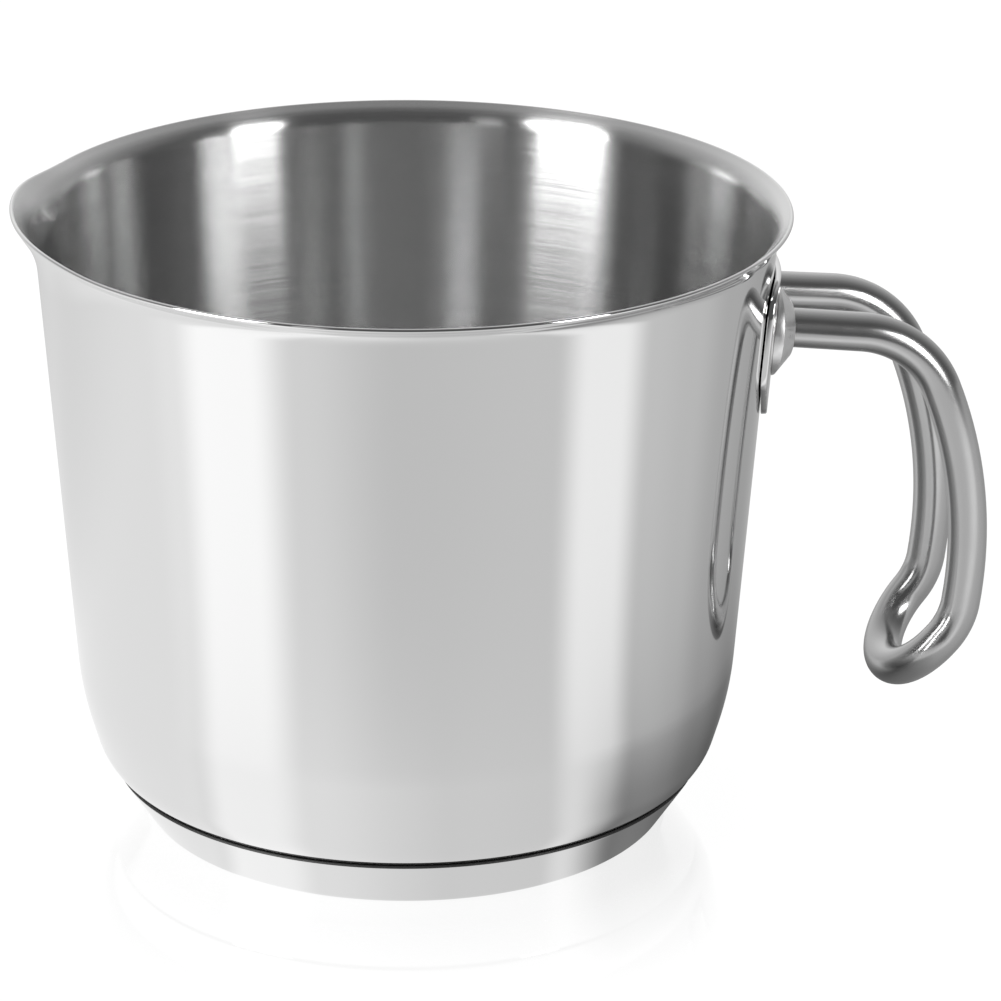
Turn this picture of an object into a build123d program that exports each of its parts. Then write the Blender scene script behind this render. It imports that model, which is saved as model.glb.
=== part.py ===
from build123d import *

import os
from math import asin, cos, degrees, radians, sin, tan

os.makedirs("parts", exist_ok=True)

# A 14 cm milk pan in pressed steel. Millimetres and degrees.
# The base rests on Z = 0 and the pot's axis is Z.
# The handle points along +X and the pouring lip along -X.

# Pot shell, measured along its outside
sheet = 0.8
rim_radius = 74.0
rim_height = 122.1
rim_bevel = 0.2
flare_width = 2.9
flare_rise = 2.1
neck_blend = 4.0
wall_lean_angle = 4.27
knee_rise = 17.7
knee_width = 5.2
knee_blend = 60.0
floor_height = 8.6
floor_corner = 11.0

# Pouring lip, at its middle
lip_half_angle = 35.6
lip_reach = 1.6
lip_lift = 1.7
lip_throat = 3.5
lip_blend = 14.3
lip_plain_angle = 5.0
lip_steps = 11
lip_bed_drop = 8.0

# Base: an aluminium disc in a pressed steel capsule
capsule_sheet = 0.8
capsule_foot_inset = 7.9
capsule_foot_blend = 3.0
capsule_flare_angle = 33.4
capsule_rise = 2.4
seam_gap = 0.8
bond_gap = 0.05

# Plate welded to the wall
plate_sheet = 1.2
plate_gap = 0.2
plate_drop = 11.1
plate_length = 28.0
plate_half_width = 27.0
plate_foot_half_width = 20.0
plate_shoulder_rise = 9.0
plate_corner = 6.0

# Ferrule on the plate
ferrule_drop = 23.7
ferrule_reach = 2.9
ferrule_base_half_length = 21.9
ferrule_base_half_height = 9.2
ferrule_face_half_length = 18.5
ferrule_face_half_height = 5.6
ferrule_bevel_depth = 3.0
ferrule_seat_depth = 7.0
socket_clearance = 0.1

# Handle: one round bar bent to a hairpin whose legs part a little
bar_radius = 3.85
leg_spacing = 23.25
leg_wall_gap = 1.3
leg_splay_angle = 2.28
leg_tilt_angle = 6.04
leg_straight = 16.6
shoulder_bend_radius = 19.7
shoulder_bend_angle = 61.7
grip_bow_radius = 87.7
grip_bow_angle = 30.1
tail_bend_radius = 14.6
tail_bend_angle = 31.7

overrun = 3.0

# Heights and radii that follow from them
wall_slope = tan(radians(wall_lean_angle))
neck_radius = rim_radius - flare_width
neck_height = rim_height - flare_rise
knee_height = floor_height + knee_rise
knee_radius = neck_radius - (neck_height - knee_height) * wall_slope
floor_radius = knee_radius - knee_width
capsule_foot_radius = floor_radius - capsule_foot_inset
capsule_height = floor_height + capsule_rise
plate_top = rim_height - plate_drop
plate_bottom = plate_top - plate_length
plate_shoulder_height = plate_bottom + plate_shoulder_rise
ferrule_height = rim_height - ferrule_drop


def wall_radius(height):
    return knee_radius + (height - knee_height) * wall_slope


# Pot shell
shell_points = [
    (0, floor_height),
    (floor_radius, floor_height),
    (knee_radius, knee_height),
    (neck_radius, neck_height),
    (rim_radius, rim_height),
]
lip_bed = neck_height - lip_throat - lip_bed_drop
lip_spread = lip_half_angle + lip_plain_angle


def lip_share(angle):
    # Share of the full lip that is left at this angle from the lip's middle
    across = min(abs(angle) / lip_half_angle, 1)
    return (1 - across**4) ** 4


def lip_section(angle):
    # Section of the sheet in the upright plane at this angle from the lip's middle
    share = lip_share(angle)
    turn = radians(180 + angle)
    neck = neck_height - lip_throat * share
    bed = lip_bed - overrun
    plane = Plane(origin=(0, 0, 0), x_dir=(cos(turn), sin(turn), 0), z_dir=(sin(turn), -cos(turn), 0))
    with BuildSketch(plane) as section:
        with BuildLine():
            FilletPolyline(
                (wall_radius(bed), bed),
                (wall_radius(neck), neck),
                (rim_radius + lip_reach * share, rim_height + lip_lift * share),
                radius=neck_blend + lip_blend * share,
            )
            offset(amount=sheet, side=Side.LEFT)
        make_face()
        chamfer(section.vertices().sort_by(Axis.Y)[-2:], rim_bevel)
    return section.sketch


with BuildPart() as lip:
    for step in range(-lip_steps, lip_steps + 1):
        add(lip_section(lip_spread * step / lip_steps))
    loft()
    split(bisect_by=Plane.XY.offset(lip_bed), keep=Keep.TOP)

with BuildPart() as pot_body:
    with BuildSketch(Plane.XZ) as shell_section:
        with BuildLine():
            FilletPolyline(*shell_points, radius=[floor_corner, knee_blend, neck_blend])
            offset(amount=sheet, side=Side.LEFT)
        make_face()
        chamfer(shell_section.vertices().sort_by(Axis.Y)[-2:], rim_bevel)
    revolve(axis=Axis.Z)
    with BuildSketch(Plane.XY.offset(lip_bed)):
        with BuildLine():
            reach = rim_radius + overrun
            near_corner = PolarLine((0, 0), reach / cos(radians(lip_spread)), 180 - lip_spread)
            far_corner = PolarLine((0, 0), reach / cos(radians(lip_spread)), 180 + lip_spread)
            Line(near_corner @ 1, far_corner @ 1)
        make_face()
    extrude(amount=rim_height - lip_bed + overrun, mode=Mode.SUBTRACT)
    add(lip.part)
pot_body.part.label = "pot_body"
export_step(pot_body.part, "parts/pot_body.step")

# Outline of the pot with the seam's gap round it, which trims the capsule and the disc
with BuildSketch() as pot_clearance:
    with BuildLine():
        outside = FilletPolyline(*shell_points[:-1], radius=[floor_corner, knee_blend])
        Polyline(outside @ 1, (0, neck_height), (0, floor_height))
    make_face()
    offset(amount=seam_gap)

# Base capsule
capsule_slope = tan(radians(capsule_flare_angle))
with BuildPart() as base_capsule:
    with BuildSketch(Plane.XZ):
        with BuildLine():
            FilletPolyline(
                (0, 0),
                (capsule_foot_radius, 0),
                (capsule_foot_radius + capsule_height * capsule_slope, capsule_height),
                radius=capsule_foot_blend,
            )
            offset(amount=capsule_sheet, side=Side.LEFT)
        make_face()
        add(pot_clearance.sketch, mode=Mode.SUBTRACT)
    revolve(axis=Axis.Z)
base_capsule.part.label = "base_capsule"
export_step(base_capsule.part, "parts/base_capsule.step")

# Heat-spreading disc
core_foot_radius = capsule_foot_radius - capsule_sheet / cos(radians(capsule_flare_angle)) - bond_gap
with BuildPart() as base_core:
    with BuildSketch(Plane.XZ) as core_section:
        with BuildLine():
            Polyline(
                (0, capsule_sheet),
                (core_foot_radius + capsule_sheet * capsule_slope, capsule_sheet),
                (core_foot_radius + floor_height * capsule_slope, floor_height),
                (0, floor_height),
                close=True,
            )
        make_face()
        foot_corner = core_section.vertices().sort_by(Axis.Y)[:2].sort_by(Axis.X)[-1]
        fillet(foot_corner, capsule_foot_blend - capsule_sheet)
    revolve(axis=Axis.Z)
base_core.part.label = "base_core"
export_step(base_core.part, "parts/base_core.step")

# Plate: a band of the wall's cone, cut to its outline
plate_inner = plate_gap / cos(radians(wall_lean_angle))
plate_outer = (plate_gap + plate_sheet) / cos(radians(wall_lean_angle))
band_bottom = plate_bottom - overrun
band_top = plate_top + overrun
with BuildPart() as handle_plate:
    with BuildSketch(Plane.XZ):
        with BuildLine():
            Polyline(
                (wall_radius(band_bottom) + plate_inner, band_bottom),
                (wall_radius(band_bottom) + plate_outer, band_bottom),
                (wall_radius(band_top) + plate_outer, band_top),
                (wall_radius(band_top) + plate_inner, band_top),
                close=True,
            )
        make_face()
    revolve(axis=Axis.Z)
    with BuildSketch(Plane.YZ) as plate_outline:
        with BuildLine():
            Polyline(
                (-plate_foot_half_width, plate_bottom),
                (plate_foot_half_width, plate_bottom),
                (plate_half_width, plate_shoulder_height),
                (plate_half_width, plate_top),
                (-plate_half_width, plate_top),
                (-plate_half_width, plate_shoulder_height),
                close=True,
            )
        make_face()
        fillet(plate_outline.vertices(), plate_corner)
    extrude(amount=rim_radius, mode=Mode.INTERSECT)
handle_plate.part.label = "handle_plate"
export_step(handle_plate.part, "parts/handle_plate.step")

# Handle: two legs and the bend that joins them, along the bar's middle
splay = radians(leg_splay_angle)
leg_plane = Plane(
    origin=(wall_radius(ferrule_height) + leg_wall_gap, -leg_spacing / 2, ferrule_height),
    x_dir=(cos(splay), -sin(splay), 0),
    z_dir=(-sin(splay), -cos(splay), 0),
)
with BuildLine(leg_plane) as near_leg:
    leg = PolarLine((0, 0), leg_straight, -leg_tilt_angle)
    shoulder = JernArc(leg @ 1, leg % 1, shoulder_bend_radius, -shoulder_bend_angle)
    grip = JernArc(shoulder @ 1, shoulder % 1, grip_bow_radius, -grip_bow_angle)
    tail = JernArc(grip @ 1, grip % 1, tail_bend_radius, -tail_bend_angle)
leg_start = near_leg.line @ 0
leg_heading = near_leg.line % 0
tail_end = near_leg.line @ 1
tail_heading = near_leg.line % 1
tail_spread = degrees(asin(-tail_heading.Y))
end_radius = -tail_end.Y / cos(radians(tail_spread))
end_plane = Plane(origin=tail_end, x_dir=tail_heading, z_dir=tail_heading.cross(Vector(0, 1, 0)))
with BuildLine(end_plane) as end_bend:
    JernArc((0, 0), (1, 0), end_radius, 180 + 2 * tail_spread)
with BuildLine() as bar_path:
    add(near_leg.line)
    add(end_bend.line)
    mirror(near_leg.line, about=Plane.XZ)
with BuildPart() as handle_loop:
    path = bar_path.wires()[0]
    with BuildSketch(Plane(origin=path @ 0, z_dir=path % 0)):
        Circle(bar_radius)
    sweep(path=path)
handle_loop.part.label = "handle_loop"
export_step(handle_loop.part, "parts/handle_loop.step")

# Ferrule: a bevelled oval boss, seated on the plate and bored for the legs
face_plane = Plane(
    origin=(wall_radius(ferrule_height) + ferrule_reach, 0, ferrule_height),
    x_dir=(0, 1, 0),
    z_dir=(cos(radians(wall_lean_angle)), 0, -sin(radians(wall_lean_angle))),
)
with BuildPart() as handle_ferrule:
    with BuildSketch(face_plane.offset(-ferrule_seat_depth)):
        SlotOverall(2 * ferrule_base_half_length, 2 * ferrule_base_half_height)
    extrude(amount=ferrule_seat_depth - ferrule_bevel_depth)
    with BuildSketch(face_plane.offset(-ferrule_bevel_depth)):
        SlotOverall(2 * ferrule_base_half_length, 2 * ferrule_base_half_height)
    with BuildSketch(face_plane):
        SlotOverall(2 * ferrule_face_half_length, 2 * ferrule_face_half_height)
    loft()
    with BuildSketch(Plane.XZ):
        with BuildLine():
            Polyline(
                (0, band_bottom),
                (wall_radius(band_bottom) + plate_outer + bond_gap, band_bottom),
                (wall_radius(band_top) + plate_outer + bond_gap, band_top),
                (0, band_top),
                close=True,
            )
        make_face()
    revolve(axis=Axis.Z, mode=Mode.SUBTRACT)
    with BuildSketch(Plane(origin=leg_start, z_dir=leg_heading).offset(-overrun)):
        Circle(bar_radius + socket_clearance)
    near_socket = extrude(amount=overrun + ferrule_seat_depth, mode=Mode.SUBTRACT)
    mirror(near_socket, about=Plane.XZ, mode=Mode.SUBTRACT)
handle_ferrule.part.label = "handle_ferrule"
export_step(handle_ferrule.part, "parts/handle_ferrule.step")
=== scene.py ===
import math

import bpy
import numpy as np
from mathutils import Matrix, Vector


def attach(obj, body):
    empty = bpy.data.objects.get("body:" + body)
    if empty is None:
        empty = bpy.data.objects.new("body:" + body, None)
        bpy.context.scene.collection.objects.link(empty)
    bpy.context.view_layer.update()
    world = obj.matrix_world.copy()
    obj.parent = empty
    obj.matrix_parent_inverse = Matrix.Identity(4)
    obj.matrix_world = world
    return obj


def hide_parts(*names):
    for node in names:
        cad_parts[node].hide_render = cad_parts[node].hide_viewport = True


mm = 0.001  # each piece's own values are millimetres and degrees
weldDistance = 0.002 * mm

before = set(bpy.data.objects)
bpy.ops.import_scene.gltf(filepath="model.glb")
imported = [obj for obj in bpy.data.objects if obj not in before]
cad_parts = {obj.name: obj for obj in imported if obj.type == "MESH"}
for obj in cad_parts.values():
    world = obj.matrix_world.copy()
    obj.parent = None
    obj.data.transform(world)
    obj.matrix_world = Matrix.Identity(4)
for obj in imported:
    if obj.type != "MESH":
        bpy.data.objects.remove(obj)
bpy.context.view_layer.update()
print("frame loaded:", sorted(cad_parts))


# Modelling helpers

def deselectAll():
    if bpy.context.object and bpy.context.object.mode != "OBJECT":
        bpy.ops.object.mode_set(mode="OBJECT")
    bpy.ops.object.select_all(action="DESELECT")


def selectOnly(piece):
    deselectAll()
    piece.select_set(True)
    bpy.context.view_layer.objects.active = piece


def roundedLine(corners, radii, arcSteps, straightSteps):
    # Points along a line whose corners are rounded, each with the normal to the right of the way
    points = [Vector(corner) for corner in corners]
    line = []

    def addStraight(a, b, steps):
        way = (b - a).normalized()
        for k in range(steps):
            share = (1 - math.cos(math.pi * k / steps)) / 2  # closer together at both ends
            line.append((a.lerp(b, share), Vector((way.y, -way.x))))

    here = points[0]
    for k, radius in enumerate(radii):
        corner = points[k + 1]
        wayIn = (corner - points[k]).normalized()
        wayOut = (points[k + 2] - corner).normalized()
        turn = math.atan2(wayIn.x * wayOut.y - wayIn.y * wayOut.x, wayIn.dot(wayOut))
        cut = radius * math.tan(abs(turn) / 2)
        start = corner - wayIn * cut
        addStraight(here, start, straightSteps[k])
        side = Vector((-wayIn.y, wayIn.x)) * math.copysign(1, turn)
        centre = start + side * radius
        for j in range(arcSteps[k]):
            bend = Matrix.Rotation(turn * j / arcSteps[k], 2)
            way = bend @ wayIn
            line.append((centre - (bend @ side) * radius, Vector((way.y, -way.x))))
        here = corner + wayOut * cut
    addStraight(here, points[-1], straightSteps[-1])
    way = (points[-1] - points[-2]).normalized()
    line.append((points[-1], Vector((way.y, -way.x))))
    return line


def sheetRows(outside, sheet, capSteps):
    # The closed section of a sheet whose outside is this line and whose free edge is round
    edge, normal = outside[-1]
    way = Vector((-normal.y, normal.x))
    centre = edge - normal * sheet / 2
    rows = [point for point, _ in outside]
    for k in range(1, capSteps):
        angle = math.pi * k / capSteps
        rows.append(centre + (normal * math.cos(angle) + way * math.sin(angle)) * sheet / 2)
    rows += [point - normal * sheet for point, normal in reversed(outside)]
    return rows


def drawSection(name, rows):
    # One vertex, extruded from point to point in the XZ plane
    deselectAll()
    bpy.ops.mesh.primitive_plane_add(size=mm)
    piece = bpy.context.object
    piece.name = piece.data.name = name
    bpy.ops.object.mode_set(mode="EDIT")
    bpy.ops.mesh.merge(type="CENTER")
    bpy.ops.transform.translate(value=(rows[0].x * mm, 0, rows[0].y * mm))
    for a, b in zip(rows, rows[1:]):
        step = ((b.x - a.x) * mm, 0, (b.y - a.y) * mm)
        bpy.ops.mesh.extrude_region_move(TRANSFORM_OT_translate={"value": step})
    return piece


def spinRound(piece, columns):
    # Turns the drawn section once round Z and closes it
    bpy.ops.mesh.select_all(action="SELECT")
    bpy.ops.mesh.spin(steps=columns, angle=2 * math.pi, center=(0, 0, 0), axis=(0, 0, 1))
    bpy.ops.mesh.select_all(action="SELECT")
    bpy.ops.mesh.remove_doubles(threshold=weldDistance)
    bpy.ops.mesh.normals_make_consistent(inside=False)
    bpy.ops.object.mode_set(mode="OBJECT")
    bpy.ops.object.shade_smooth()


turnedMapWidth = 0.1  # metres of the map for a turn of one radian


def addTurnedMap(piece):
    # A map whose U runs up the wall and whose V runs round it, for the direction of brushing
    deselectAll()
    mesh = piece.data
    turned = mesh.uv_layers.new(name="turned")
    for face in mesh.polygons:
        middle = math.atan2(face.center.y, face.center.x)
        for corner in face.loop_indices:
            spot = mesh.vertices[mesh.loops[corner].vertex_index].co
            radius = math.hypot(spot.x, spot.y)
            turn = math.atan2(spot.y, spot.x) - middle
            # On the axis itself a vertex has no turn of its own
            turn = (turn + math.pi) % (2 * math.pi) - math.pi if radius > mm else 0
            turned.data[corner].uv = (spot.z + radius, (middle + turn) * turnedMapWidth)


def finishedCopy(node, name, values):
    # A CAD node's shape with its sharp edges eased
    deselectAll()
    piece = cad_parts[node].copy()
    piece.data = piece.data.copy()
    piece.name = piece.data.name = name
    for key in list(piece.keys()):
        del piece[key]
    piece.parent = None
    bpy.context.scene.collection.objects.link(piece)
    piece.data.materials.clear()
    selectOnly(piece)
    bpy.ops.object.mode_set(mode="EDIT")
    bpy.ops.mesh.select_all(action="SELECT")
    bpy.ops.mesh.remove_doubles(threshold=weldDistance)
    bpy.ops.mesh.dissolve_limited(angle_limit=math.radians(values["flatAngle"]))
    bpy.ops.object.mode_set(mode="OBJECT")
    bevel = piece.modifiers.new("easedEdges", "BEVEL")
    bevel.width = values["edgeRound"] * mm
    bevel.segments = values["edgeSteps"]
    bevel.limit_method = "ANGLE"
    bevel.angle_limit = math.radians(values["edgeAngle"])
    bpy.ops.object.modifier_apply(modifier=bevel.name)
    bpy.ops.object.shade_smooth_by_angle(angle=math.radians(values["smoothAngle"]))
    return piece


def place(piece, node):
    # The piece stands for its CAD node and rides with the pan
    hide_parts(node)
    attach(piece, "root")


# Material helpers

noiseValues = {
    "roughness": 0.6,
    "range": (0.3, 0.7),  # nearly all of the noise lies between these
    "cloudDetail": 4,
    "lineDetail": 3,
    "waveDetail": 2,
}


def newMaterial(name):
    material = bpy.data.materials.new(name)
    material.use_nodes = True
    return material, material.node_tree.nodes, material.node_tree.links


def grey(level):
    return (level, level, level, 1)


def stretchedNoise(nodes, links, scale, detail):
    # Noise on the object's own coordinates, stretched by the three scales (per metre)
    where = nodes.new("ShaderNodeTexCoord")
    mapping = nodes.new("ShaderNodeMapping")
    mapping.inputs["Scale"].default_value = scale
    noise = nodes.new("ShaderNodeTexNoise")
    noise.inputs["Scale"].default_value = 1
    noise.inputs["Detail"].default_value = detail
    noise.inputs["Roughness"].default_value = noiseValues["roughness"]
    links.new(where.outputs["Object"], mapping.inputs["Vector"])
    links.new(mapping.outputs["Vector"], noise.inputs["Vector"])
    return noise.outputs["Fac"]


def remap(nodes, links, value, before, after):
    # Moves a value from one range to another, and holds it at the range's ends
    node = nodes.new("ShaderNodeMapRange")
    node.inputs["From Min"].default_value, node.inputs["From Max"].default_value = before
    node.inputs["To Min"].default_value, node.inputs["To Max"].default_value = after
    links.new(value, node.inputs["Value"])
    return node.outputs["Result"]


def addBump(nodes, links, height, depth):
    node = nodes.new("ShaderNodeBump")
    node.inputs["Distance"].default_value = depth * mm
    links.new(height, node.inputs["Height"])
    return node


def addMath(nodes, links, operation, first, second=None):
    node = nodes.new("ShaderNodeMath")
    node.operation = operation
    for socket, value in zip(node.inputs, (first, second)):
        if isinstance(value, (int, float)):
            socket.default_value = value
        elif value:
            links.new(value, socket)
    return node.outputs[0]


def steel(name, values):
    # A metal with a cloudy gloss, fine lines and a slight waviness
    material, nodes, links = newMaterial(name)
    shader = nodes["Principled BSDF"]
    shader.inputs["Base Color"].default_value = grey(values["grey"])
    shader.inputs["Metallic"].default_value = 1
    shader.inputs["Anisotropic"].default_value = values["anisotropic"]
    cloudScale = (values["cloudScale"],) * 3
    lineScale = (values["lineTurnScale"], values["lineTurnScale"], values["lineHeightScale"])
    waveScale = (values["waveScale"],) * 3
    clouds = stretchedNoise(nodes, links, cloudScale, noiseValues["cloudDetail"])
    lines = stretchedNoise(nodes, links, lineScale, noiseValues["lineDetail"])
    waves = stretchedNoise(nodes, links, waveScale, noiseValues["waveDetail"])
    lineRange = (-values["lineRoughness"], values["lineRoughness"])
    soft = remap(nodes, links, clouds, noiseValues["range"], values["roughness"])
    ridged = remap(nodes, links, lines, noiseValues["range"], lineRange)
    links.new(addMath(nodes, links, "ADD", soft, ridged), shader.inputs["Roughness"])
    waveBump = addBump(nodes, links, waves, values["waveDepth"])
    lineBump = addBump(nodes, links, lines, values["lineDepth"])
    links.new(waveBump.outputs["Normal"], lineBump.inputs["Normal"])
    links.new(lineBump.outputs["Normal"], shader.inputs["Normal"])
    if values["anisotropic"]:
        tangent = nodes.new("ShaderNodeTangent")
        tangent.direction_type = "UV_MAP"
        tangent.uv_map = "turned"
        links.new(tangent.outputs["Tangent"], shader.inputs["Tangent"])
    return material


polished = steel("polishedSteel", {
    "grey": 0.76,
    "anisotropic": 0.0,
    "roughness": (0.045, 0.07),
    "cloudScale": 45,
    "lineTurnScale": 9,
    "lineHeightScale": 2600,
    "lineRoughness": 0.008,
    "lineDepth": 0.0006,
    "waveScale": 22,
    "waveDepth": 0.012,
})
brushed = steel("brushedSteel", {
    "grey": 0.70,
    "anisotropic": 1.0,
    "roughness": (0.21, 0.24),
    "cloudScale": 30,
    "lineTurnScale": 7,
    "lineHeightScale": 4000,
    "lineRoughness": 0.03,
    "lineDepth": 0.002,
    "waveScale": 18,
    "waveDepth": 0.01,
})
barSteel = steel("barSteel", {
    "grey": 0.55,
    "anisotropic": 0.0,
    "roughness": (0.19, 0.24),
    "cloudScale": 120,
    "lineTurnScale": 60,
    "lineHeightScale": 300,
    "lineRoughness": 0.01,
    "lineDepth": 0.0008,
    "waveScale": 60,
    "waveDepth": 0.012,
})
satin = steel("satinSteel", {
    "grey": 0.84,
    "anisotropic": 0.0,
    "roughness": (0.26, 0.42),
    "cloudScale": 420,
    "lineTurnScale": 500,
    "lineHeightScale": 500,
    "lineRoughness": 0.03,
    "lineDepth": 0.01,
    "waveScale": 260,
    "waveDepth": 0.06,
})
# Painted shade: near-black steel that stands for the shade inside the gap between the pot and
# the capsule
paintedSeamShade = steel("paintedSeamShadeSteel", {
    "grey": 0.06,
    "anisotropic": 0.0,
    "roughness": (0.5, 0.6),
    "cloudScale": 90,
    "lineTurnScale": 60,
    "lineHeightScale": 300,
    "lineRoughness": 0.02,
    "lineDepth": 0.002,
    "waveScale": 60,
    "waveDepth": 0.01,
})
# Painted shade: the core shows only through the seam's gap, and its dark grey stands for the
# shade there
shadeDarkenedAluminium = steel("rolledAluminiumPaintedShade", {
    "grey": 0.3,
    "anisotropic": 0.0,
    "roughness": (0.35, 0.45),
    "cloudScale": 90,
    "lineTurnScale": 900,
    "lineHeightScale": 30,
    "lineRoughness": 0.05,
    "lineDepth": 0.004,
    "waveScale": 30,
    "waveDepth": 0.01,
})
print("materials made")


# Pot

pot = {
    "sheet": 0.8,
    "rimRadius": 74.0,
    "rimHeight": 122.1,
    "flareWidth": 2.9,
    "flareRise": 2.1,
    "neckBlend": 4.0,
    "wallLean": 4.27,
    "kneeRise": 17.7,
    "kneeWidth": 5.2,
    "kneeBlend": 60.0,
    "floorHeight": 8.6,
    "floorCorner": 11.0,
    "lipHalfAngle": 35.6,
    "lipReach": 1.6,
    "lipLift": 1.7,
    "lipThroat": 3.5,
    "lipBlend": 14.3,
    "lipSharpness": 4,
    "seamShadeHeight": 10.6,  # below this the outside lies in the open seam, and painted shade makes it dark
    "insideFacing": -0.05,  # a face that looks outwards by less than this is on the inside
    "floorFacing": 0.7,  # a low face that looks up by more than this is on the floor
    "columns": 384,
    "arcSteps": (20, 8, 16),
    "straightSteps": (10, 4, 26, 5),
    "capSteps": 8,
}
wallSlope = math.tan(math.radians(pot["wallLean"]))
pot["neckRadius"] = pot["rimRadius"] - pot["flareWidth"]
pot["neckHeight"] = pot["rimHeight"] - pot["flareRise"]
pot["kneeHeight"] = pot["floorHeight"] + pot["kneeRise"]
pot["kneeRadius"] = pot["neckRadius"] - (pot["neckHeight"] - pot["kneeHeight"]) * wallSlope
pot["floorRadius"] = pot["kneeRadius"] - pot["kneeWidth"]


def potRows(share):
    # The pot's section where the lip has this share of its full depth
    neckHeight = pot["neckHeight"] - pot["lipThroat"] * share
    neckRadius = pot["kneeRadius"] + (neckHeight - pot["kneeHeight"]) * wallSlope
    neck = Vector((neckRadius, neckHeight))
    rim = Vector((
        pot["rimRadius"] + pot["lipReach"] * share,
        pot["rimHeight"] + pot["lipLift"] * share,
    ))
    rim -= (rim - neck).normalized() * pot["sheet"] / 2  # the round edge reaches the rim itself
    corners = [
        (0, pot["floorHeight"]),
        (pot["floorRadius"], pot["floorHeight"]),
        (pot["kneeRadius"], pot["kneeHeight"]),
        neck,
        rim,
    ]
    radii = (pot["floorCorner"], pot["kneeBlend"], pot["neckBlend"] + pot["lipBlend"] * share)
    outside = roundedLine(corners, radii, pot["arcSteps"], pot["straightSteps"])
    return sheetRows(outside, pot["sheet"], pot["capSteps"])


def lipShare(degrees):
    across = min(abs(degrees) / pot["lipHalfAngle"], 1)
    return (1 - across ** pot["lipSharpness"]) ** pot["lipSharpness"]


def pressLip(piece):
    # Moves each vertex near the lip from the plain section to the lip's own section
    plain = np.array(potRows(0))
    spots = np.zeros(len(piece.data.vertices) * 3)
    piece.data.vertices.foreach_get("co", spots)
    spots = spots.reshape(-1, 3) / mm
    turn = np.degrees(np.arctan2(spots[:, 1], -spots[:, 0]))
    radius = np.hypot(spots[:, 0], spots[:, 1])
    near = np.flatnonzero((abs(turn) < pot["lipHalfAngle"]) & (radius > pot["floorRadius"]))
    sections = {}
    for k in near:
        away = plain - (radius[k], spots[k, 2])
        row = int(np.argmin((away**2).sum(axis=1)))
        key = round(float(turn[k]), 4)
        if key not in sections:
            sections[key] = potRows(lipShare(key))
        pressed = sections[key][row]
        spots[k, :2] *= pressed.x / radius[k]
        spots[k, 2] = pressed.y
    piece.data.vertices.foreach_set("co", (spots * mm).ravel())
    piece.data.update()


def makePot():
    piece = drawSection("potBody", potRows(0))
    spinRound(piece, pot["columns"])
    pressLip(piece)
    addTurnedMap(piece)
    for material in (polished, brushed, paintedSeamShade):
        piece.data.materials.append(material)
    cornerHeight = (pot["floorHeight"] + pot["floorCorner"]) * mm
    for face in piece.data.polygons:
        outwards = Vector((face.center.x, face.center.y, 0)).normalized()
        inFloor = face.center.z < cornerHeight and face.normal.z > pot["floorFacing"]
        if face.normal.dot(outwards) < pot["insideFacing"] or inFloor:
            face.material_index = 1
        # Low outside faces get the painted seam shade
        elif face.center.z < pot["seamShadeHeight"] * mm:
            face.material_index = 2
    place(piece, "pot_body")


makePot()
print("pot made")


# Base

base = {
    "sheet": 0.8,
    "footInset": 7.9,
    "footBlend": 3.0,
    "flareAngle": 33.4,
    "seamGap": 0.8,
    "seamShadeFacing": -0.3,  # a face that looks down by less than this lies in the seam or inside, and gets the painted seam shade
    "columns": 256,
    "arcSteps": (10,),
    "straightSteps": (8, 12),
    "capSteps": 6,
}


def makeCapsule():
    flare = math.radians(base["flareAngle"])
    way = Vector((math.sin(flare), math.cos(flare)))
    foot = Vector((pot["floorRadius"] - base["footInset"], 0))
    wallWay = Vector((
        pot["kneeRadius"] - pot["floorRadius"],
        pot["kneeHeight"] - pot["floorHeight"],
    )).normalized()
    cornerTurn = math.acos(wallWay.x)
    centre = Vector((
        pot["floorRadius"] - pot["floorCorner"] * math.tan(cornerTurn / 2),
        pot["floorHeight"] + pot["floorCorner"],
    ))
    reach = pot["floorCorner"] + base["seamGap"]
    # The capsule's side ends where it meets the pot's corner, less the seam's gap
    offset = foot - centre
    along = offset.dot(way)
    length = -along - math.sqrt(along**2 - offset.length_squared + reach**2)
    corners = [(0, 0), foot, foot + way * length]
    outside = roundedLine(corners, (base["footBlend"],), base["arcSteps"], base["straightSteps"])
    rows = sheetRows(outside, base["sheet"], base["capSteps"])
    piece = drawSection("baseCapsule", rows)
    spinRound(piece, base["columns"])
    for material in (polished, paintedSeamShade):
        piece.data.materials.append(material)
    # The capsule's faces in the seam and inside it get the painted seam shade
    for face in piece.data.polygons:
        if face.normal.z > base["seamShadeFacing"]:
            face.material_index = 1
    place(piece, "base_capsule")


makeCapsule()
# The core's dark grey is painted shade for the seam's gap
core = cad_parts["base_core"]
core.data.materials.clear()
core.data.materials.append(shadeDarkenedAluminium)
print("base made")


# Handle

handle = {
    "barRadius": 3.848,
    "legSpacing": 23.25,
    "wallGap": 1.3,
    "startDrop": 23.7,
    "splay": 2.28,
    "tilt": 6.04,
    "straight": 16.6,
    "bends": ((19.7, 61.7, 32), (87.7, 30.1, 20), (14.6, 31.7, 18)),  # radius, turn, steps
    "endSteps": 56,
    "sides": 56,
    "smoothAngle": 40,
}
plate = {
    "flatAngle": 0.5,
    "edgeRound": 0.3,
    "edgeAngle": 50,
    "edgeSteps": 3,
    "smoothAngle": 30,
}
ferrule = {
    "flatAngle": 0.5,
    "edgeRound": 0.35,
    "edgeAngle": 25,
    "edgeSteps": 3,
    "smoothAngle": 30,
}


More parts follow.
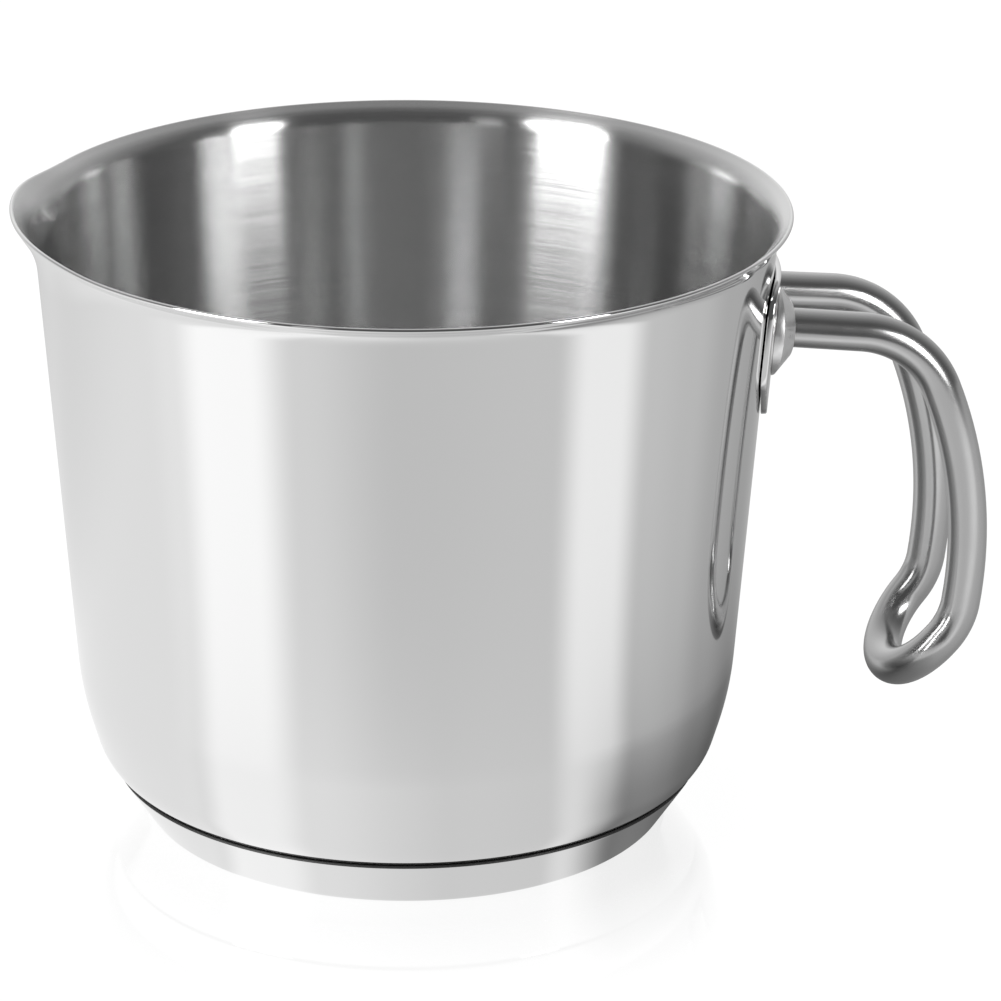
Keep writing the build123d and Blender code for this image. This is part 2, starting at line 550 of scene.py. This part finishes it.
def makeHandle():
    startHeight = pot["rimHeight"] - handle["startDrop"]
    wallRadius = pot["neckRadius"] - (pot["neckHeight"] - startHeight) * wallSlope
    splay = math.radians(handle["splay"])
    outward = Vector((math.cos(splay), -math.sin(splay), 0))
    upward = Vector((0, 0, 1))
    bendAxis = -outward.cross(upward)
    mirrored = Vector((1, -1, 1))

    def legWay(angle):
        return outward * math.cos(angle) - upward * math.sin(angle)

    heading = math.radians(handle["tilt"])
    here = Vector((wallRadius + handle["wallGap"], -handle["legSpacing"] / 2, startHeight))
    deselectAll()
    bpy.ops.mesh.primitive_circle_add(
        vertices=handle["sides"],
        radius=handle["barRadius"] * mm,
        fill_type="NGON",
        location=here * mm,
        rotation=legWay(heading).to_track_quat("Z", "Y").to_euler(),
    )
    piece = bpy.context.object
    piece.name = piece.data.name = "handleLoop"
    bpy.ops.object.transform_apply(location=True, rotation=True, scale=True)
    bpy.ops.object.mode_set(mode="EDIT")
    bpy.ops.mesh.select_all(action="SELECT")
    straight = legWay(heading) * handle["straight"]
    bpy.ops.mesh.extrude_region_move(TRANSFORM_OT_translate={"value": straight * mm})
    here += straight
    spins = []  # centre, angle and steps of each bend of the near leg
    for radius, turn, steps in handle["bends"]:
        centre = here + legWay(heading + math.pi / 2) * radius
        heading += math.radians(turn)
        here = centre - legWay(heading + math.pi / 2) * radius
        spins.append((centre, math.radians(turn), steps))
    # The spin operator turns the other way round its axis
    for centre, turn, steps in spins:
        bpy.ops.mesh.spin(steps=steps, angle=-turn, center=centre * mm, axis=bendAxis)
    tailWay = legWay(heading)
    across = (Vector((0, 1, 0)) - tailWay * tailWay.y).normalized()
    endRadius = -here.y / across.y
    endTurn = math.pi + 2 * math.asin(-tailWay.y)
    bpy.ops.mesh.spin(
        steps=handle["endSteps"],
        angle=-endTurn,
        center=(here + across * endRadius) * mm,
        axis=tailWay.cross(across),
    )
    for centre, turn, steps in reversed(spins):
        farCentre = centre * mirrored * mm
        bpy.ops.mesh.spin(steps=steps, angle=-turn, center=farCentre, axis=bendAxis * mirrored)
    back = -straight * mirrored
    bpy.ops.mesh.extrude_region_move(TRANSFORM_OT_translate={"value": back * mm})
    bpy.ops.mesh.select_all(action="SELECT")
    bpy.ops.mesh.remove_doubles(threshold=weldDistance)
    bpy.ops.mesh.normals_make_consistent(inside=False)
    bpy.ops.object.mode_set(mode="OBJECT")
    bpy.ops.object.shade_smooth_by_angle(angle=math.radians(handle["smoothAngle"]))
    piece.data.materials.append(barSteel)
    place(piece, "handle_loop")


def makePlate():
    piece = finishedCopy("handle_plate", "handlePlate", plate)
    piece.data.materials.append(polished)
    place(piece, "handle_plate")


def makeFerrule():
    piece = finishedCopy("handle_ferrule", "handleFerrule", ferrule)
    piece.data.materials.append(satin)
    place(piece, "handle_ferrule")


makeHandle()
makePlate()
makeFerrule()
print("handle made")


# Camera, set to the photograph's view

view = {
    "location": (-142.44, -869.83, 395.43),
    "target": (18.1, -3.0, 62.5),
    "lens": 173.49,
    "sensorWidth": 36,
    "roll": 0.0071835,  # radians
    "clipRange": (0.05, 20),  # metres
}


def makeCamera():
    data = bpy.data.cameras.new("photoCamera")
    data.lens = view["lens"]
    data.sensor_width = view["sensorWidth"]
    camera = bpy.data.objects.new("photoCamera", data)
    bpy.context.scene.collection.objects.link(camera)
    forward = (Vector(view["target"]) - Vector(view["location"])).normalized()
    right = forward.cross(Vector((0, 0, 1))).normalized()
    up = right.cross(forward)
    c, s = math.cos(view["roll"]), math.sin(view["roll"])
    right, up = right * c + up * s, up * c - right * s
    turn = Matrix((right, up, -forward)).transposed().to_4x4()
    camera.matrix_world = Matrix.Translation(Vector(view["location"]) * mm) @ turn
    data.clip_start, data.clip_end = view["clipRange"]
    bpy.context.scene.camera = camera


makeCamera()


# Floor, lamps and surroundings

# Lengths here are metres
studio = {
    "floorSize": 12.0,
    "floorPale": 0.80,
    "floorWhite": 0.80,
    "floorShade": 0.06,
    "floorGloss": 0.20,
    "floorGlossRoughness": 0.06,
    "floorGlossEnds": (0.10, 0.06),  # the faint mirror image fades between these radii
    "glowEnds": (-0.39, -0.31),  # the pale table ends in front of the pan
    "glowFar": 0.14,
    # Painted levels round the floor as the steel sees them, pools of lamp light and darker
    # stretches, from -X through -Y, +X and +Y
    "paintedGlow": (
        (0.00, 0.94),
        (0.03, 1.00),
        (0.06, 1.25),
        (0.10, 1.24),
        (0.14, 0.82),
        (0.22, 0.66),
        (0.34, 0.69),
        (0.37, 1.08),
        (0.40, 1.08),
        (0.43, 0.68),
        (0.48, 0.62),
        (0.53, 0.50),
        (0.60, 0.42),
        (0.70, 0.55),
        (0.86, 0.82),
        (1.00, 0.94),
    ),
    # The same painted bands of lamp light narrow towards the pan
    "glowMiddle": 0.24,
    "glowSpread": 0.032,
    "glowDistance": 0.28,
    # Painted shadow and light where the floor meets the pan, in the same order
    "near": (
        (0.00, 1.00),
        (0.05, 0.90),
        (0.10, 0.90),
        (0.14, 1.14),
        (0.21, 1.24),
        (0.26, 1.14),
        (0.34, 1.08),
        (0.37, 0.83),
        (0.42, 0.68),
        (0.46, 0.75),
        (0.51, 0.65),
        (0.62, 0.50),
        (0.90, 1.00),
        (1.00, 1.00),
    ),
    "nearStart": 0.10,
    "nearReach": 0.045,
    # Share of the painted shade between the pan and the handle, in the same order, and where it
    # ends
    "handleShade": (
        (0.00, 0.0),
        (0.36, 0.0),
        (0.42, 1.0),
        (0.58, 1.0),
        (0.68, 0.0),
        (1.00, 0.0),
    ),
    "handleShadeEnds": (0.062, 0.115),
    "handleShadeLevel": 0.45,
    # Levels of the surroundings, from the camera's side over the top to the back
    "sky": (
        (0.00, 0.09),
        (0.40, 0.10),
        (0.52, 0.17),
        (0.65, 0.28),
        (0.86, 0.53),
        (0.97, 0.80),
        (1.00, 0.95),
    ),
    "skyAxis": (0, 0.954, 0.30),
    "lampDistance": 1.3,
    "lampAim": (0, 0, 0.07),
}
# Each lamp's turn is in degrees from -Y towards +X, as seen from above
softboxes = {
    "leftSoftbox": {"turn": -65.0, "height": 0.50, "width": 0.58, "tall": 0.9, "watts": 17.0},
    "rightSoftbox": {"turn": 41.2, "height": 0.40, "width": 0.36, "tall": 0.7, "watts": 6.3},
    "middleStrip": {"turn": -37.0, "height": 0.50, "width": 0.20, "tall": 0.9, "watts": 0.3},
}


def addRamp(nodes, links, value, levels, interpolation="EASE"):
    ramp = nodes.new("ShaderNodeValToRGB")
    ramp.color_ramp.interpolation = interpolation
    stops = ramp.color_ramp.elements
    for k, (position, level) in enumerate(levels):
        stop = stops[k] if k < 2 else stops.new(position)  # a new ramp has two stops
        stop.position = position
        stop.color = grey(level)
    links.new(value, ramp.inputs["Fac"])
    return ramp.outputs["Color"]


def emission(nodes, links, level):
    node = nodes.new("ShaderNodeEmission")
    links.new(level, node.inputs["Color"])
    return node.outputs[0]


def mixShaders(nodes, links, share, first, second):
    node = nodes.new("ShaderNodeMixShader")
    links.new(share, node.inputs[0])
    links.new(first, node.inputs[1])
    links.new(second, node.inputs[2])
    return node.outputs[0]


def addShaders(nodes, links, first, second):
    node = nodes.new("ShaderNodeAddShader")
    links.new(first, node.inputs[0])
    links.new(second, node.inputs[1])
    return node.outputs[0]


def makeFloor():
    deselectAll()
    bpy.ops.mesh.primitive_plane_add(size=studio["floorSize"])
    floor = bpy.context.object
    floor.name = "floor"
    material, nodes, links = newMaterial("paleFloor")
    nodes.clear()
    output = nodes.new("ShaderNodeOutputMaterial")
    path = nodes.new("ShaderNodeLightPath")
    where = nodes.new("ShaderNodeTexCoord")
    separate = nodes.new("ShaderNodeSeparateXYZ")
    links.new(where.outputs["Object"], separate.inputs[0])
    x, y = separate.outputs["X"], separate.outputs["Y"]

    def calc(operation, first, second=None):
        return addMath(nodes, links, operation, first, second)

    radius = calc("SQRT", calc("ADD", calc("MULTIPLY", x, x), calc("MULTIPLY", y, y)))

    # What lights the pan from below
    plain = nodes.new("ShaderNodeBsdfDiffuse")
    plain.inputs["Color"].default_value = grey(studio["floorPale"])

    # What the camera sees: white, a soft shadow and a faint mirror image near the pan
    shade = nodes.new("ShaderNodeBsdfDiffuse")
    shade.inputs["Color"].default_value = grey(studio["floorShade"])
    gloss = nodes.new("ShaderNodeBsdfGlossy")
    gloss.inputs["Roughness"].default_value = studio["floorGlossRoughness"]
    fade = remap(nodes, links, radius, studio["floorGlossEnds"], (0, 1))
    links.new(calc("MULTIPLY", fade, studio["floorGloss"]), gloss.inputs["Color"])
    # White makes up for the mirror image where that fades
    lost = calc("MULTIPLY", calc("SUBTRACT", 1.0, fade), studio["floorGloss"])
    white = emission(nodes, links, calc("ADD", lost, studio["floorWhite"]))
    seen = addShaders(nodes, links, white, shade.outputs[0])
    seen = addShaders(nodes, links, seen, gloss.outputs[0])

    # What the steel mirrors: a glowing floor with painted pools of lamp light and painted
    # shadows of the pan and handle, at levels that change round the floor
    angle = calc("ARCTAN2", y, x)
    turn = remap(nodes, links, angle, (-math.pi, math.pi), (0, 1))
    fromMiddle = calc("SUBTRACT", turn, studio["glowMiddle"])
    farSpread = 1 - studio["glowSpread"] / studio["glowDistance"]
    spread = calc("ADD", calc("DIVIDE", studio["glowSpread"], radius), farSpread)
    turn = calc("ADD", calc("MULTIPLY", fromMiddle, spread), studio["glowMiddle"])
    paintedGlow = addRamp(nodes, links, turn, studio["paintedGlow"])
    # Painted shadow of the pan on the floor, with some painted light
    near = addRamp(nodes, links, turn, studio["near"])
    beyond = calc("SUBTRACT", studio["nearStart"], radius)
    falling = calc("MINIMUM", calc("DIVIDE", beyond, studio["nearReach"]), 0.0)
    change = calc("MULTIPLY", calc("EXPONENT", falling), calc("SUBTRACT", near, 1.0))
    level = calc("MULTIPLY", calc("ADD", change, 1.0), paintedGlow)
    tableEnd = remap(nodes, links, y, studio["glowEnds"], (studio["glowFar"], 1))
    level = calc("MULTIPLY", level, tableEnd)
    # Painted shade between the pan and the handle
    fullShade = 1 - studio["handleShadeLevel"]
    shaded = remap(nodes, links, radius, studio["handleShadeEnds"], (fullShade, 0))
    shaded = calc("MULTIPLY", shaded, addRamp(nodes, links, turn, studio["handleShade"]))
    level = calc("MULTIPLY", level, calc("SUBTRACT", 1.0, shaded))
    # The floor glows with this painted light and shade for glossy rays only
    mirrored = emission(nodes, links, level)

    unseen = mixShaders(nodes, links, path.outputs["Is Glossy Ray"], plain.outputs[0], mirrored)
    total = mixShaders(nodes, links, path.outputs["Is Camera Ray"], unseen, seen)
    links.new(total, output.inputs["Surface"])
    floor.data.materials.append(material)


def addSoftbox(name, values):
    data = bpy.data.lights.new(name, "AREA")
    data.shape = "RECTANGLE"
    data.size, data.size_y = values["width"], values["tall"]
    data.energy = values["watts"]
    lamp = bpy.data.objects.new(name, data)
    bpy.context.scene.collection.objects.link(lamp)
    turn = math.radians(values["turn"])
    away = Vector((math.sin(turn), -math.cos(turn), 0))
    lamp.location = away * studio["lampDistance"] + Vector((0, 0, values["height"]))
    aim = Vector(studio["lampAim"]) - lamp.location
    lamp.rotation_euler = aim.to_track_quat("-Z", "Y").to_euler()
    lamp.visible_camera = False


def makeWorld():
    world = bpy.data.worlds.new("studioWorld")
    bpy.context.scene.world = world
    world.use_nodes = True
    nodes, links = world.node_tree.nodes, world.node_tree.links
    nodes.clear()
    output = nodes.new("ShaderNodeOutputWorld")
    path = nodes.new("ShaderNodeLightPath")
    where = nodes.new("ShaderNodeTexCoord")
    along = nodes.new("ShaderNodeVectorMath")
    along.operation = "DOT_PRODUCT"
    along.inputs[1].default_value = Vector(studio["skyAxis"]).normalized()
    links.new(where.outputs["Generated"], along.inputs[0])
    share = remap(nodes, links, along.outputs["Value"], (-1, 1), (0, 1))
    sky = nodes.new("ShaderNodeBackground")
    links.new(addRamp(nodes, links, share, studio["sky"], "LINEAR"), sky.inputs["Color"])
    white = nodes.new("ShaderNodeBackground")
    white.inputs["Color"].default_value = grey(1)
    seen = path.outputs["Is Camera Ray"]
    total = mixShaders(nodes, links, seen, sky.outputs[0], white.outputs[0])
    links.new(total, output.inputs["Surface"])


makeFloor()
makeWorld()
for lampName, lampValues in softboxes.items():
    addSoftbox(lampName, lampValues)
bpy.context.scene.view_settings.view_transform = "Standard"
print("studio made")
